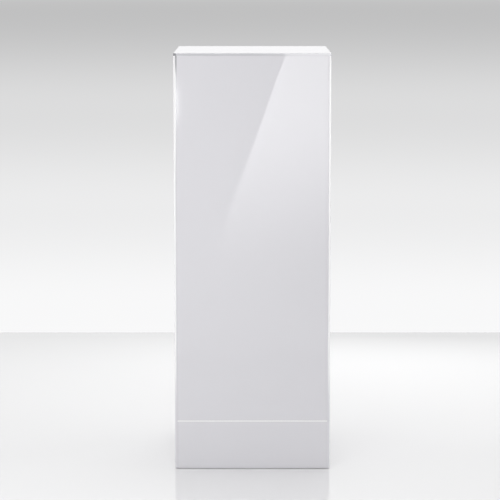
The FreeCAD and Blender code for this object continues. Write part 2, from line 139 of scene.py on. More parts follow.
class PlinthFinish(bpy.types.PropertyGroup):
    """Colours and surface of the materials."""

    sheet: colour("Sheet", "White acrylic sheet", (0.82, 0.813, 0.846))
    sheet_cloud: colour("Sheet cloud", "Faint clouding in the cast sheet", (0.8, 0.793, 0.828))
    sheet_edge: colour("Sheet edge", "Sawn edge of the top sheet", (0.672, 0.667, 0.698))
    # Painted highlight: near-white colour painted on the side panels' upright edges and on the inner
    # acrylic's edges.
    painted_highlight: colour("Lit edge", "Polished edge that light runs out of", (0.97, 0.97, 0.975))
    # Painted shade: dark colour that the joints, the top's left corners and the seam are painted towards.
    painted_shade: colour("Cement", "Colour that a cemented joint falls to", (0.34, 0.34, 0.36))
    sheet_gloss: share("Sheet roughness", "Roughness of the polished sheet", 0.012)
    sheet_haze: share("Sheet haze", "Roughness that haze adds in places", 0.015)
    sheet_rub: share("Sheet rubs", "Roughness that fine rubs add", 0.05)
    sheet_wave: length("Sheet wave", "Height of the cast sheet's slow waves", 0.00004)
    veneer: colour("Veneer", "Birch veneer of the base board", (0.56, 0.4, 0.24))
    veneer_vein: colour("Veneer vein", "Darker vein of the birch veneer", (0.42, 0.27, 0.14))
    ply: length("Ply", "Thickness of one ply of the base board", 0.0015)
    block: colour("Block", "Beech of the corner blocks", (0.5, 0.31, 0.18))
    block_fleck: colour("Block fleck", "Darker fleck of the beech", (0.33, 0.18, 0.09))
    paint: colour("Paint", "Black paint on the ballast plates", (0.018, 0.018, 0.02))
    bare_steel: colour("Bare steel", "Steel where the paint is scuffed", (0.3, 0.3, 0.31))
    zinc: colour("Zinc", "Zinc plating where it is dull", (0.62, 0.64, 0.66))
    zinc_bolts: colour("Bright bolts", "Bright plating of bolts, nuts and washers", (0.78, 0.8, 0.82))
    zinc_screws: colour("Bright screws", "Bright plating of the wood screws", (0.8, 0.81, 0.82))
    zinc_studs: colour("Bright studs", "Bright plating of the studs", (0.74, 0.76, 0.78))
    passivate: colour("Passivate", "Yellow passivated zinc where it is dull", (0.62, 0.5, 0.26))
    passivate_bright: colour("Bright passivate", "Passivated zinc where it is bright", (0.7, 0.56, 0.36))
    # Colour that threads and recesses darken towards, the more the deeper a point lies.
    groove_dark: colour("Dirt", "Dirt in the threads and recesses", (0.1, 0.095, 0.09))
    nylon: colour("Nylon", "Foot pads' nylon", (0.035, 0.035, 0.038))
    nylon_scuff: colour("Nylon scuff", "Scuffs on the nylon", (0.16, 0.16, 0.16))


class PlinthEdges(bpy.types.PropertyGroup):
    """Painted light in the sheets' edges, and painted shade in their joints, the top's left corners and the
    seam.
    """

    # Painted glow: emission from the sheets' edges, though they are no lamp.
    painted_glow_left: share("Glow left", "Light out of the left panels' edges", 0.09)
    painted_glow_right: share("Glow right", "Light out of the right panels' edges", 0.117)
    painted_glow_inner: share("Glow inside", "Light out of the edges of deck, upstand and rods", 0.0405)
    # Sizes of the painted highlight on the side panels' upright edges.
    lit_width: length("Lit width", "Width of the lit edge on the right and low on the left", 0.0027)
    lit_fade: length("Lit fade", "Width over which the lit edge fades", 0.0012)
    lit_rise: pair("Lit rise", "Heights where the lit edges begin and are full", (0.11, 0.22))
    spread: length("Spread", "How much broader the lit edge is high on the left", 0.0021)
    spread_rise: pair("Spread rise", "Heights where it begins to broaden and is broad", (0.56, 0.68))
    spread_fall: pair("Spread fall", "Heights where it begins to narrow and is narrow", (0.757, 0.797))
    # Sizes of the painted shade along the cemented joints, deepest at the upper left.
    joint_width: length("Joint width", "Half the width over which a cemented joint shows", 0.0022)
    joint_inset: length("Joint inset", "How far the shade's middle lies inside the joint", 0.0002)
    joint_rise: pair("Joint rise", "Heights where the shade begins to deepen and is full", (0.755, 0.79))
    joint_faint: share("Joint faint", "Share of a joint's shade lower down", 0.04)
    joint_right: share("Joint right", "Share of a joint's shade on the right", 0.12)
    # Reach and depth of the painted shade in the top's left corners.
    corner: pair("Corner", "How far in the top's left corners are dark and are shaded", (0.0045, 0.0065))
    corner_drop: length("Corner drop", "How far under the top a corner's shade is full", 0.0004)
    # Widths and depth of the painted shade line at the seam.
    seam_fade: pair("Seam fade", "Half widths of the dark seam and of all of it", (0.0003, 0.0009))
    seam_shade: share("Seam shade", "Share of the seam's shade", 0.75)
    # Painted light that pales the top's sawn edge towards the right.
    painted_light_across: pair("Pale across", "Where the top's sawn edge begins to pale and is palest", (-0.02, 0.14))
    pale: share("Pale", "How near the palest edge comes to the sheet's colour", 0.9)


class PlinthHardware(bpy.types.PropertyGroup):
    """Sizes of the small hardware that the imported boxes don't give."""

    stud_pitch: length("Stud pitch", "Rise of the bolts' and studs' thread a turn", 0.00125)
    stud_depth: length("Stud thread depth", "Depth of the bolts' and studs' thread", 0.00062)
    shank_radius: length("Shank radius", "Radius of the bolts and studs over the thread", 0.00392)
    thread_spare: length("Spare thread", "Length of the bolts' thread under a nut", 0.0053)
    screw_pitch: length("Screw pitch", "Rise of the wood screws' thread a turn", 0.0018)
    screw_depth: length("Screw thread depth", "Depth of the wood screws' thread", 0.0006)
    screw_radius: length("Screw radius", "Radius of the wood screws over the thread", 0.00198)
    screw_point: length("Screw point", "Length of the wood screws' point", 0.004)
    screw_land: length("Screw land", "Height of the upright rim under a screw's face", 0.0003)
    recess_reach: length("Recess reach", "Length of one arm of the cross recess", 0.0021)
    recess_half: length("Recess half width", "Half the width of a recess arm", 0.00042)
    recess_depth: length("Recess depth", "Depth of the cross recess in the middle", 0.0017)
    recess_side: length("Recess side", "Width of the slope along a recess arm", 0.0002)
    recess_end: length("Recess end", "Length of the slope at a recess arm's end", 0.0004)
    recess_taper: share("Recess taper", "Share of its depth that an arm loses to its end", 0.55)
    hexagon: length("Hexagon", "Width of bolt heads and nuts across the flats", 0.013)
    head_height: length("Bolt head", "Height of the bolts' hexagon head", 0.0053)
    bore_radius: length("Bore radius", "Radius of the nuts' bore", 0.00405)
    washer_radius: length("Washer radius", "Radius of the washers", 0.0085)
    washer_bore: length("Washer bore", "Radius of the washers' hole", 0.0045)
    edge_round: length("Edge round", "Rounding of stamped and turned edges", 0.0005)
    swivel_radius: length("Swivel radius", "Radius of the stud's swivel head", 0.00648)
    swivel_height: length("Swivel height", "Height of the stud's swivel head", 0.0028)
    neck_radius: length("Neck radius", "Radius of the stud's neck in the pad", 0.00448)
    collar_gap: length("Collar gap", "Gap between a stud's collar and its pad", 0.0002)
    pad_rim: length("Pad rim", "Height of the pads' upright rim", 0.005)
    pad_flat: length("Pad flat", "Radius of the flat on top of a pad", 0.01)
    pad_round: length("Pad round", "Rounding of the pads' edges", 0.001)
    pad_mouth: length("Pad mouth", "Radius of the mouth round the stud's neck", 0.00455)
    pad_socket: length("Pad socket", "Radius of the socket round the swivel head", 0.00655)
    pad_floor: length("Pad floor", "Thickness of a pad under the swivel head", 0.003)
    pad_ceiling: length("Pad ceiling", "Height of the socket's ceiling over the floor", 0.006)


class PlinthStage(bpy.types.PropertyGroup):
    """Camera, lamps, cards, floor and backdrop."""

    lens: FloatProperty(
        name="Lens", description="Focal length on a 36 mm wide sensor", default=145.1, unit="CAMERA"
    )
    camera_place: FloatVectorProperty(
        name="Camera place", description="Where the camera stands", size=3,
        default=(-0.0045, -3.973, 0.9892), subtype="TRANSLATION",
    )
    camera_drop: FloatProperty(
        name="Camera drop", description="How far the camera looks down",
        default=math.radians(8.3215), subtype="ANGLE",
    )
    top_watts: power("Top softbox", "Power of the softbox overhead", 27.0)
    left_watts: power("Left softbox", "Power of the softbox on the left", 19.0)
    right_watts: power("Right softbox", "Power of the softbox on the right", 21.5)
    front_watts: power("Front softbox", "Power of the fill in front", 5.4)
    back_watts: power("Back softbox", "Power of the fill behind", 5.5)
    rear_watts: power("Rear softbox", "Power of the broad softbox far behind", 12.0)
    ambient: share("Ambient", "Even light from all round", 0.2)
    card_distance: length("Card distance", "How far the cards stand in front of the plinth", 0.5)
    streak_light: power("Streak", "Brightness of the slanting card", 3.8, "NONE")
    streak_rise: pair("Streak rise", "Heights on the card where its light begins and is full", (0.29, 0.69))
    glint_light: power("Glint", "Brightness of the small card by the left edge", 11.0, "NONE")
    glint_across: pair("Glint across", "Where on the front it would be full and ends", (-0.158, -0.13))
    glint_height: length("Glint height", "Height of the glint's middle on the front", 0.709)
    glint_fade: pair("Glint fade", "Half heights of the full glint and of all of it", (0.012, 0.06))
    floor: colour("Floor", "Pale studio floor", (0.84, 0.84, 0.845))
    floor_cloud: colour("Floor cloud", "What the floor's faint clouds lean to", (0.7, 0.7, 0.7))
    floor_gloss: share("Floor roughness", "Roughness of the studio floor", 0.08)
    floor_half: length("Floor half", "Half the floor's width", 1.28)
    floor_bend: length("Floor bend", "Radius of the floor's corners", 0.5)


class Nodes:
    """A node tree, with short calls for what finishes and backdrop share."""

    def __init__(self, tree):
        self.tree = tree

    def node(self, kind, options=(), **sockets):
        """Adds a node. A socket takes a number, a colour or another node's output."""
        made = self.tree.nodes.new(kind)
        for name, value in dict(options).items():
            setattr(made, name, value)
        for name, value in sockets.items():
            self.plug(made.inputs[name.replace("_", " ")], value)
        return made

    def plug(self, socket, value):
        """Links an output to a socket, or sets the socket to a number or colour."""
        if isinstance(value, bpy.types.NodeSocket):
            self.tree.links.new(value, socket)
        elif socket.type == "RGBA" and len(value) == 3:
            socket.default_value = (*value, 1.0)
        else:
            socket.default_value = value

    def number(self, operation, *values):
        """Arithmetic on numbers or outputs."""
        made = self.node("ShaderNodeMath", {"operation": operation})
        for socket, value in zip(made.inputs, values):
            self.plug(socket, value)
        return made.outputs[0]

    def product(self, first, *others):
        """Product of numbers or outputs."""
        for other in others:
            first = self.number("MULTIPLY", first, other)
        return first

    def axis(self, vector, letter):
        """One coordinate of a vector."""
        return self.node("ShaderNodeSeparateXYZ", Vector=vector).outputs[letter]


class Graph(Nodes):
    """A material's node tree, with short calls for what only the finishes share."""

    def __init__(self, name):
        self.material = bpy.data.materials.new(name)
        self.material.use_nodes = True
        super().__init__(self.material.node_tree)
        self.shader = self.tree.nodes["Principled BSDF"]
        self.place = self.node("ShaderNodeTexCoord").outputs["Object"]

    def at(self, letter):
        """The place's coordinate along an axis."""
        return self.axis(self.place, letter)

    def absolute(self, value):
        """A value without its sign."""
        return self.number("ABSOLUTE", value)

    def minus(self, value, taken):
        """A value with another taken from it."""
        return self.number("SUBTRACT", value, taken)

    def span(self, value, over, to=(0.0, 1.0)):
        """Smooth step from the first of to, where over begins, to the second, where it ends."""
        made = self.node(
            "ShaderNodeMapRange", {"interpolation_type": "SMOOTHSTEP"}, Value=value,
            From_Min=over[0], From_Max=over[1], To_Min=to[0], To_Max=to[1],
        )
        return made.outputs["Result"]

    def sideways(self, left, right):
        """Smooth change from a value on the plinth's left to one on its right."""
        return self.span(self.at("X"), ACROSS, (left, right))

    def noise(self, scale, detail=2.0, rough=0.5, stretch=(1.0, 1.0, 1.0), bend=0.0):
        """Cloudy noise, scale lumps to the metre, drawn out along the axes by stretch."""
        where = self.node("ShaderNodeMapping", Vector=self.place, Scale=stretch).outputs["Vector"]
        made = self.node(
            "ShaderNodeTexNoise", Vector=where, Scale=scale, Detail=detail, Roughness=rough, Distortion=bend
        )
        return made.outputs["Fac"]

    def mix(self, factor, first, second):
        """Colour between first and second."""
        made = self.node("ShaderNodeMix", {"data_type": "RGBA"})
        for index, value in zip(MIX_INPUTS, (factor, first, second)):
            self.plug(made.inputs[index], value)
        return made.outputs[MIX_RESULT]

    def facing(self, letter):
        """One where the surface faces along the axis, either way, and nought where across it."""
        normal = self.node("ShaderNodeNewGeometry").outputs["Normal"]
        return self.span(self.absolute(self.axis(normal, letter)), FACING)

    def relief(self, height, depth, strength=1.0, under=None):
        """Bump of a depth in metres, over another bump if there is one."""
        made = self.node("ShaderNodeBump", Strength=strength, Distance=depth, Height=height)
        if under is not None:
            self.plug(made.inputs["Normal"], under)
        return made.outputs["Normal"]

    def finish(self, **sockets):
        """Sets the shader's own sockets."""
        for name, value in sockets.items():
            self.plug(self.shader.inputs[name.replace("_", " ")], value)
        return self.material


def sheet_colour(graph, finish, broad, edge):
    """Clouded broad faces, and sawn edges of their own colour with a little of the face's."""
    cloud = graph.mix(graph.noise(3.0, detail=3.0), finish.sheet, finish.sheet_cloud)
    saw = graph.noise(400.0, detail=3.0, rough=0.6, stretch=(1.0, 1.0, 0.1))
    cut = graph.mix(graph.span(saw, (0.4, 0.7), to=(0.0, 0.2)), edge, finish.sheet)
    return graph.mix(broad, cut, cloud)


def joint_painted_shade(graph, edges):
    """Share of painted shade along the cemented joints: deep at the upper left, faint lower and on the
    right.
    """
    line = graph.absolute(graph.minus(graph.absolute(graph.at("X")), JOINT - edges.joint_inset))
    near = graph.span(line, (0.0, edges.joint_width), to=(1.0, 0.0))
    high = graph.span(graph.at("Z"), edges.joint_rise, to=(edges.joint_faint, 1.0))
    return graph.product(near, high, graph.sideways(1.0, edges.joint_right))


def painted_highlight_share(graph, edges, broad):
    """Share of painted highlight in the side panels' upright edges: broadest high on the left, gone near the
    floor.
    """
    height = graph.at("Z")
    broader = graph.span(height, edges.spread_rise)
    narrower = graph.span(height, edges.spread_fall, to=(1.0, 0.0))
    spread = graph.product(graph.sideways(edges.spread, 0.0), broader, narrower)
    width = graph.number("ADD", spread, edges.lit_width)
    inset = graph.minus(HALF_WIDTH, graph.absolute(graph.at("X")))
    outer = graph.span(graph.minus(inset, width), (0.0, edges.lit_fade), to=(1.0, 0.0))
    up = graph.span(height, edges.lit_rise)
    return graph.product(outer, up, graph.minus(1.0, broad))


def corner_painted_shade(graph, edges):
    """Share of painted shade in the top panel's left corners, over the walls' joints."""
    near, far = edges.corner
    left = graph.span(graph.at("X"), (near - HALF_WIDTH, far - HALF_WIDTH), to=(1.0, 0.0))
    end = graph.span(graph.absolute(graph.at("Y")), (HALF_DEPTH - far, HALF_DEPTH - near))
    under = graph.span(graph.at("Z"), (TOP - edges.corner_drop, TOP), to=(1.0, 0.0))
    return graph.product(left, end, under)


def seam_share(graph, edges, broad):
    """Share of shade in the fine line where cover and base meet on the sides."""
    off = graph.absolute(graph.minus(graph.at("Z"), SEAM))
    line = graph.span(off, edges.seam_fade, to=(edges.seam_shade, 0.0))
    return graph.product(line, broad)


def polished(graph, finish, body, **sockets):
    """Gloss that all the acrylic shares: haze, fine rubs, slow waves and a trace of polishing."""
    dull = finish.sheet_gloss + finish.sheet_haze
    cloud = graph.noise(14.0, detail=4.0, rough=0.6)
    haze = graph.span(cloud, (0.35, 0.75), to=(finish.sheet_gloss, dull))
    stroke = graph.noise(500.0, stretch=(1.0, 1.0, 0.06), bend=0.4)
    rub = graph.span(stroke, (0.66, 0.74), to=(0.0, finish.sheet_rub))
    wave = graph.relief(graph.noise(4.5, detail=1.0), depth=finish.sheet_wave)
    trace = graph.noise(900.0, detail=1.0)
    return graph.finish(
        Base_Color=body,
        Roughness=graph.number("ADD", haze, rub),
        IOR=ACRYLIC_IOR,
        Normal=graph.relief(trace, depth=0.000002, strength=0.4, under=wave),
        **sockets,
    )


def end_acrylic(finish, edges):
    """Front and rear panels: sheet with painted shade along the cemented joints at its sides, deep at the
    upper left.
    """
    graph = Graph("white_acrylic_front_and_rear")
    body = sheet_colour(graph, finish, graph.facing("Y"), finish.sheet_edge)
    # Painted shade along the joints.
    return polished(graph, finish, graph.mix(joint_painted_shade(graph, edges), body, finish.painted_shade))


def side_acrylic(finish, edges):
    """Left and right panels: painted highlight and painted glow on the upright edges, painted shade at the
    upper left joint, and a painted shade line at the seam.
    """
    graph = Graph("white_acrylic_sides")
    broad = graph.facing("X")
    lit = painted_highlight_share(graph, edges, broad)
    # Painted highlight on the upright edges, then painted shade at the joints and along the seam.
    body = graph.mix(lit, sheet_colour(graph, finish, broad, finish.sheet), finish.painted_highlight)
    body = graph.mix(joint_painted_shade(graph, edges), body, finish.painted_shade)
    body = graph.mix(seam_share(graph, edges, broad), body, finish.painted_shade)
    # Painted glow: the edges emit where the painted highlight lies, more on the right.
    glow = graph.product(lit, graph.sideways(edges.painted_glow_left, edges.painted_glow_right))
    return polished(graph, finish, body, Emission_Color=finish.painted_highlight, Emission_Strength=glow)


def top_acrylic(finish, edges):
    """Top panel: sawn edge that painted light pales to the right, and painted shade in the left corners."""
    graph = Graph("white_acrylic_top")
    # Painted light: the sawn edge pales towards the right.
    pale = graph.span(graph.at("X"), edges.painted_light_across, to=(0.0, edges.pale))
    edge = graph.mix(pale, finish.sheet_edge, finish.sheet)
    body = sheet_colour(graph, finish, graph.facing("Z"), edge)
    # Painted shade in the left corners.
    return polished(graph, finish, graph.mix(corner_painted_shade(graph, edges), body, finish.painted_shade))


def inner_acrylic(name, finish, edges, letter):
    """Acrylic inside the plinth: polished edges with a painted highlight colour and a painted glow. The
    letter is the axis that its faces look along.
    """
    graph = Graph(name)
    broad = graph.facing(letter)
    # Painted glow out of the edges, and a painted highlight colour on them.
    glow = graph.product(graph.minus(1.0, broad), edges.painted_glow_inner)
    body = sheet_colour(graph, finish, broad, finish.painted_highlight)
    return polished(graph, finish, body, Emission_Color=finish.painted_highlight, Emission_Strength=glow)


def plywood(finish):
    """Birch plywood: long veins on the faces, plies of turning grain on the edges."""
    graph = Graph("birch_plywood")
    vein = graph.noise(26.0, detail=5.0, rough=0.62, stretch=(0.12, 1.0, 1.0), bend=0.6)
    pore = graph.noise(420.0, stretch=(0.05, 1.0, 1.0))
    face = graph.mix(graph.span(vein, (0.35, 0.68)), finish.veneer, finish.veneer_vein)
    ply = graph.number("PINGPONG", graph.at("Z"), finish.ply)
    edge = graph.mix(graph.span(ply, (0.0004, 0.0011)), finish.veneer_vein, finish.veneer)
    body = graph.mix(graph.facing("Z"), edge, face)
    dark = graph.span(pore, (0.6, 0.72), to=(0.0, 0.45))
    return graph.finish(
        Base_Color=graph.mix(dark, body, finish.veneer_vein),
        Roughness=graph.span(vein, (0.3, 0.7), to=(0.48, 0.62)),
        Normal=graph.relief(pore, depth=0.0001, strength=0.5),
    )


def hardwood(finish):
    """Beech blocks with the grain upright: short dark flecks on the sides, rings on the ends."""
    graph = Graph("beech_block")
    fleck = graph.noise(330.0, stretch=(1.0, 1.0, 0.12))
    tone = graph.noise(40.0, detail=3.0, stretch=(1.0, 1.0, 0.1), bend=0.8)
    body = graph.mix(graph.span(tone, (0.3, 0.7), to=(0.0, 0.4)), finish.block, finish.block_fleck)
    dark = graph.span(fleck, (0.6, 0.7), to=(0.0, 0.7))
    return graph.finish(
        Base_Color=graph.mix(dark, body, finish.block_fleck),
        Roughness=graph.span(tone, (0.3, 0.7), to=(0.5, 0.66)),
        Normal=graph.relief(fleck, depth=0.00012, strength=0.5),
    )


def painted_steel(finish):
    """Black painted plate: fine orange peel, and scuffs where the steel shows through."""
    graph = Graph("painted_plate")
    patch = graph.span(graph.noise(18.0, detail=5.0, rough=0.7), (0.55, 0.75))
    scratch = graph.noise(260.0, detail=3.0, rough=0.6, stretch=(0.15, 1.0, 1.0))
    scuff = graph.product(patch, graph.span(scratch, (0.52, 0.66)))
    peel = graph.noise(700.0)
    return graph.finish(
        Base_Color=graph.mix(graph.product(scuff, 0.55), finish.paint, finish.bare_steel),
        Metallic=graph.product(scuff, 0.7),
        Roughness=graph.span(peel, (0.3, 0.7), to=(0.32, 0.46)),
        Normal=graph.relief(peel, depth=0.00005, strength=0.6),
    )


def plated(name, finish, dull, bright):
    """Plated steel: drifting tone, fine drawn lines, and darker the deeper a point lies in the threads'
    grooves and the recesses.
    """
    graph = Graph(name)
    drift = graph.noise(90.0, detail=3.0, rough=0.6)
    drawn = graph.noise(900.0, stretch=(1.0, 1.0, 0.08))
    groove = graph.node("ShaderNodeAttribute", {"attribute_name": "groove"}).outputs["Fac"]
    tone = graph.mix(graph.span(drift, (0.3, 0.7), to=(0.0, 0.6)), dull, bright)
    return graph.finish(
        # Darker by how deep a point lies in a groove or recess.
        Base_Color=graph.mix(graph.product(groove, 0.7), tone, finish.groove_dark),
        Metallic=1.0,
        Roughness=graph.span(drawn, (0.3, 0.7), to=(0.24, 0.38)),
        Normal=graph.relief(drawn, depth=0.00002, strength=0.5),
    )


def moulded_nylon(finish):
    """Dark nylon: spark-eroded grain, and pale scuffs on the face that meets the floor."""
    graph = Graph("moulded_nylon")
    grain = graph.noise(1500.0, rough=0.6)
    scuff = graph.span(graph.noise(240.0, detail=4.0, rough=0.65), (0.58, 0.72))
    low = graph.span(graph.at("Z"), (0.0, 0.003), to=(0.6, 0.05))
    return graph.finish(
        Base_Color=graph.mix(graph.product(scuff, low), finish.nylon, finish.nylon_scuff),
        Roughness=graph.span(grain, (0.3, 0.7), to=(0.42, 0.58)),
        IOR=NYLON_IOR,
        Normal=graph.relief(grain, depth=0.00004, strength=0.6),
    )


def give(material, *nodes):
    """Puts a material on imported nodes."""
    for name in nodes:
        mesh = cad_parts[name].data
        mesh.materials.clear()
        mesh.materials.append(material)


def turns():
    """Angles of the columns, evenly round the axis."""
    return np.arange(COLUMNS) * FULL_TURN / COLUMNS


def plain_rows(profile):
    """Rows of a turned shape from (radius, height) pairs: the same radius and height all round."""
    pairs = np.asarray(profile, float)
    return np.repeat(pairs[:, 0:1], COLUMNS, axis=1), np.repeat(pairs[:, 1:2], COLUMNS, axis=1)


def arc_pairs(centre, radius, start, end, steps=6):
    """(radius, height) pairs on an arc: centre plus radius times cosine and sine, angles in degrees."""
    angle = np.radians(np.linspace(start, end, steps))
    return np.column_stack((centre[0] + radius * np.cos(angle), centre[1] + radius * np.sin(angle)))


def hexagon_rows(across, low, high, upper_bevel=True):
    """Rows of a hexagon, a corner on X, bevelled at 30 degrees down to a circle just inside its flats.

    The radius is half the width across flats over the cosine of the angle from the nearest flat's middle.
    """
    angle = (turns() % (math.pi / 3)) - math.pi / 6
    outline = across / 2 / np.cos(angle)
    circle = np.full(COLUMNS, across / 2 * BEVEL_CIRCLE)
    drop = (outline - circle) * BEVEL_SLOPE
    radius = [circle, outline, outline]
    height = [np.full(COLUMNS, low), low + drop, high - drop * upper_bevel]
    if upper_bevel:
        radius += [circle]
        height += [np.full(COLUMNS, high)]
    return np.array(radius), np.array(height)


def thread_rows(low, high, crest, depth, pitch, steps=8):
    """Rows of a right-hand thread: the radius falls from the crest by a V that climbs one pitch a turn.

    The V is twice the distance of height / pitch - turn from the nearest half, cut flat at crest and root,
    and fades in and out over one pitch at both ends.
    """
    height = np.linspace(low, high, int((high - low) / pitch * steps) + 1)[:, None]
    phase = (height / pitch - turns()[None, :] / FULL_TURN) % 1.0
    groove = np.clip((np.abs(2 * phase - 1) - THREAD_FLAT) / (1 - 2 * THREAD_FLAT), 0.0, 1.0)
    fade = np.clip(np.minimum(height - low, high - height) / pitch, 0.0, 1.0)
    return crest - depth * groove * fade, np.repeat(height, COLUMNS, axis=1)


def shank_rows(sizes, low, top):
    """Rows of a bolt's or stud's thread and its eased tip."""
    crest, ease = sizes.shank_radius, sizes.edge_round
    thread = thread_rows(low, top - ease, crest, sizes.stud_depth, sizes.stud_pitch)
    return thread, plain_rows([(crest - ease, top)])


def turned_surface(rows, poles=None):
    """Closed surface x = r cos t, y = r sin t, z = h over rows and columns.

    With poles, the first and last rows close in fans on the axis at those heights. Without them the rows
    close on themselves as a ring. Rows run up the outside, so that faces point outwards.
    """
    radius, height = (np.vstack(values) for values in zip(*rows))
    count = len(radius)
    angle = turns()[None, :]
    points = np.stack((radius * np.cos(angle), radius * np.sin(angle), height), axis=-1).reshape(-1, 3)
    row = np.arange(count if poles is None else count - 1)[:, None] * COLUMNS
    column = np.arange(COLUMNS)[None, :]
    beside, above = (column + 1) % COLUMNS, (row + COLUMNS) % len(points)
    quads = np.stack(np.broadcast_arrays(
        row + column, row + beside, above + beside, above + column,
    ), axis=-1).reshape(-1, 4)
    if poles is None:
        return points, quads, np.zeros((0, 3), int)
    first, last = len(points), len(points) + 1
    ring, following = column[0], beside[0]
    rim = first - COLUMNS
    lower = np.stack((np.full(COLUMNS, first), following, ring), axis=-1)
    upper = np.stack((np.full(COLUMNS, last), rim + ring, rim + following), axis=-1)
    points = np.vstack((points, ((0, 0, poles[0]), (0, 0, poles[1]))))
    return points, quads, np.vstack((lower, upper))


def four_places(x, y):
    """Places of four like pieces, alike to left and right, before and behind."""
    return [(side * x, end * y, 0.0) for side in (-1, 1) for end in (-1, 1)]


def add_object(name, data):
    """Links a new object that holds the data."""
    made = bpy.data.objects.new(name, data)
    bpy.context.scene.collection.objects.link(made)
    return made


def add_mesh(name, points, faces, material):
    """Puts points and faces into the mesh of a new object."""
    mesh = bpy.data.meshes.new(name)
    mesh.from_pydata(points.tolist(), [], faces)
    mesh.materials.append(material)
    return add_object(name, mesh)


def add_piece(name, surface, places, body, node, material, thread=None):
    """Repeats a surface at its places, puts it into a mesh, gives it its body and finish, and hides its
    imported node.

    The thread is its crest's radius, its depth and its lower end. A point's groove is how deep it lies
    inside the crest above that end, from nought to one, so that a screw's recess counts too.
    """
    points, quads, fans = surface
    places = np.asarray(places, float)
    spread = (points[None, :, :] + places[:, None, :]).reshape(-1, 3)
    step = (np.arange(len(places)) * len(points))[:, None, None]
    faces = (quads[None] + step).reshape(-1, 4).tolist() + (fans[None] + step).reshape(-1, 3).tolist()
    piece = add_mesh(name, spread, faces, material)
    groove = np.zeros(len(points))
    if thread is not None:
        crest, depth, low = thread
        out = np.hypot(points[:, 0], points[:, 1])
        groove = np.clip((crest - out) / depth, 0.0, 1.0) * (points[:, 2] > low)
    grooves = np.tile(groove, len(places)).astype(np.float32)
    piece.data.attributes.new("groove", "FLOAT", "POINT").data.foreach_set("value", grooves)
    piece.data.shade_smooth()
    piece.data.set_sharp_from_angle(angle=SHARP_ANGLE)
    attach(piece, body)
    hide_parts(node)


class PLINTH_OT_panels(bpy.types.Operator):
    """Gives the cover's and the base's panels their white acrylic."""

    bl_idname = "plinth.panels"
    bl_label = "White panels"

    def execute(self, context):
        finish, edges = context.scene.plinth_finish, context.scene.plinth_edges
        ends = end_acrylic(finish, edges)
        flanks = side_acrylic(finish, edges)
        for part in ("cover", "base"):
            give(ends, f"{part}_front_panel", f"{part}_rear_panel")
            give(flanks, f"{part}_left_panel", f"{part}_right_panel")
        give(top_acrylic(finish, edges), "cover_top_panel")
        return {"FINISHED"}


class PLINTH_OT_inner_acrylic(bpy.types.Operator):
    """Gives the rods, the deck and the upstand their acrylic."""

    bl_idname = "plinth.inner_acrylic"
    bl_label = "Inner acrylic"

    def execute(self, context):
        finish, edges = context.scene.plinth_finish, context.scene.plinth_edges
        give(inner_acrylic("inner_acrylic_deck", finish, edges, "Z"), "base_deck")
        give(inner_acrylic("inner_acrylic_ends", finish, edges, "Y"), "upstand_front", "upstand_rear")
        give(inner_acrylic("inner_acrylic_sides", finish, edges, "X"), "upstand_left", "upstand_right")
        rods = [f"corner_rod_{corner}" for corner in CORNERS] + [f"top_rod_{side}" for side in SIDES]
        give(inner_acrylic("inner_acrylic_rods", finish, edges, "Z"), *rods)
        return {"FINISHED"}


class PLINTH_OT_timber(bpy.types.Operator):
    """Gives the base board and the corner blocks their wood."""

    bl_idname = "plinth.timber"
    bl_label = "Board and blocks"

    def execute(self, context):
        finish = context.scene.plinth_finish
        give(plywood(finish), "base_board")
        give(hardwood(finish), *(f"corner_block_{corner}" for corner in CORNERS))
        return {"FINISHED"}


class PLINTH_OT_ballast(bpy.types.Operator):
    """Paints the ballast plates and makes their bolts, washers and nuts."""

    bl_idname = "plinth.ballast"
    bl_label = "Ballast"

    def execute(self, context):
        finish, sizes = context.scene.plinth_finish, context.scene.plinth_hardware
        give(painted_steel(finish), "ballast_plate_lower", "ballast_plate_upper")
        zinc = plated("zinc_plated_bolts", finish, finish.zinc, finish.zinc_bolts)
        low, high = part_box("ballast_nuts")
        places = four_places(high[0] - sizes.hexagon / math.sqrt(3), high[1] - sizes.hexagon / 2)
        thread_low = low[2] - sizes.thread_spare
        bolt = self.bolt(sizes, thread_low)
        add_piece("bolts_zinc", bolt, places, "base", "ballast_bolts", zinc,
                  (sizes.shank_radius, sizes.stud_depth, thread_low))
        add_piece("nuts_zinc", self.nut(sizes), places, "base", "ballast_nuts", zinc)
        add_piece("washers_zinc", self.washer(sizes), places, "base", "ballast_washers", zinc)
        return {"FINISHED"}

    def bolt(self, sizes, thread_low):
        """Bolt from its head up: bevelled hexagon, plain shank, thread and eased tip."""
        low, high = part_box("ballast_bolts")
        head = low[2] + sizes.head_height
        return turned_surface([
            hexagon_rows(sizes.hexagon, low[2], head, upper_bevel=False),
            plain_rows([(sizes.shank_radius, head)]),
            *shank_rows(sizes, thread_low, high[2]),
        ], (low[2], high[2]))

    def nut(self, sizes):
        """Nut: bevelled hexagon, then down its bore, eased at both mouths."""
        low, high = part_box("ballast_nuts")
        bore, ease = sizes.bore_radius, sizes.edge_round
        return turned_surface([
            plain_rows([(bore + ease, low[2])]),
            hexagon_rows(sizes.hexagon, low[2], high[2]),
            plain_rows([(bore + ease, high[2]), (bore, high[2] - ease), (bore, low[2] + ease)]),
        ])

    def washer(self, sizes):
        """Stamped washer: flat ring with its lower outer edge rounded."""
        low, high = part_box("ballast_washers")
        rim, soft = sizes.washer_radius, sizes.edge_round
        return turned_surface([plain_rows([
            (sizes.washer_bore, low[2]),
            *arc_pairs((rim - soft, low[2] + soft), soft, -90, 0),
            (rim, high[2]),
            (sizes.washer_bore, high[2]),
        ])])


